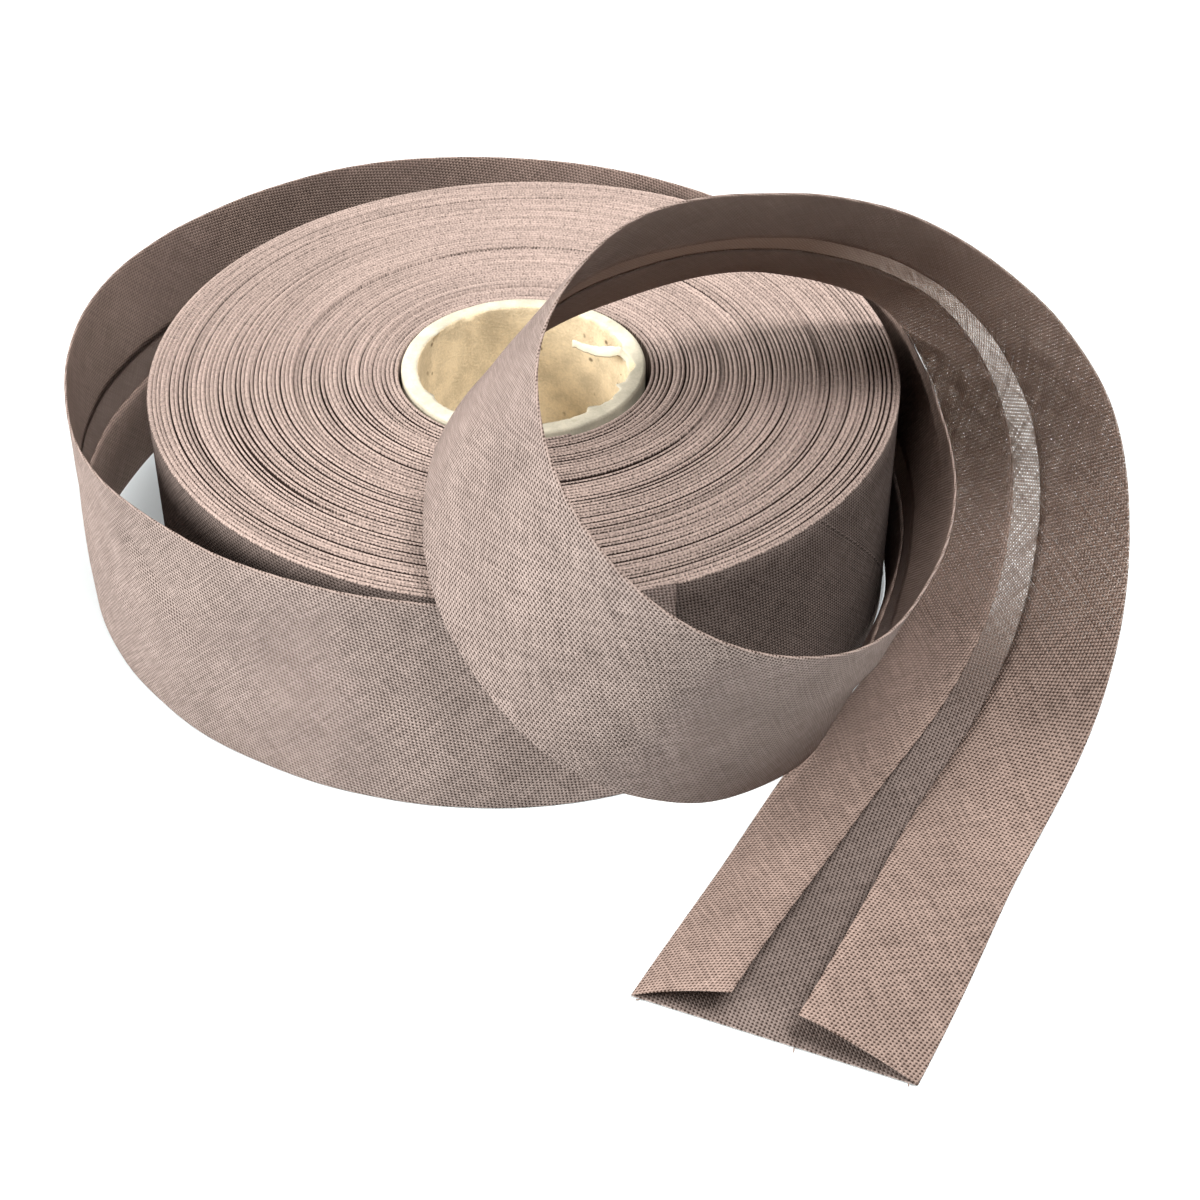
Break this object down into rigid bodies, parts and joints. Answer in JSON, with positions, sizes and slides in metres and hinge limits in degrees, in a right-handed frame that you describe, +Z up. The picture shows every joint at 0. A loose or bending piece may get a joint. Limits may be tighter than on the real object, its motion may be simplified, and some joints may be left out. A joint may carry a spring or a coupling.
{
  "type": "roll of bias binding",
  "caption": "Roll of folded bias binding on a card core, lying on its side face, its loose end standing off it, looped over and laid out in front.",
  "frame": {"origin": "on the surface the roll lies on, under the middle of everything built", "axes": "+Z up along the axis of the roll, +Y away from the loose end, from the front of the picture to its back, +X to its right"},
  "size_m": [0.1704, 0.1916, 0.0893],
  "materials": {
    "card": "plain brown card, torn paper edge, matte",
    "wound_tape": "folded edges of taupe woven tape, matte",
    "tape": "taupe plain weave cut on the bias, matte, slightly sheer where single"
  },
  "bodies": {
    "root": {"core": "card", "roll": "wound_tape", "tail": "tape"}
  },
  "joints": []
}
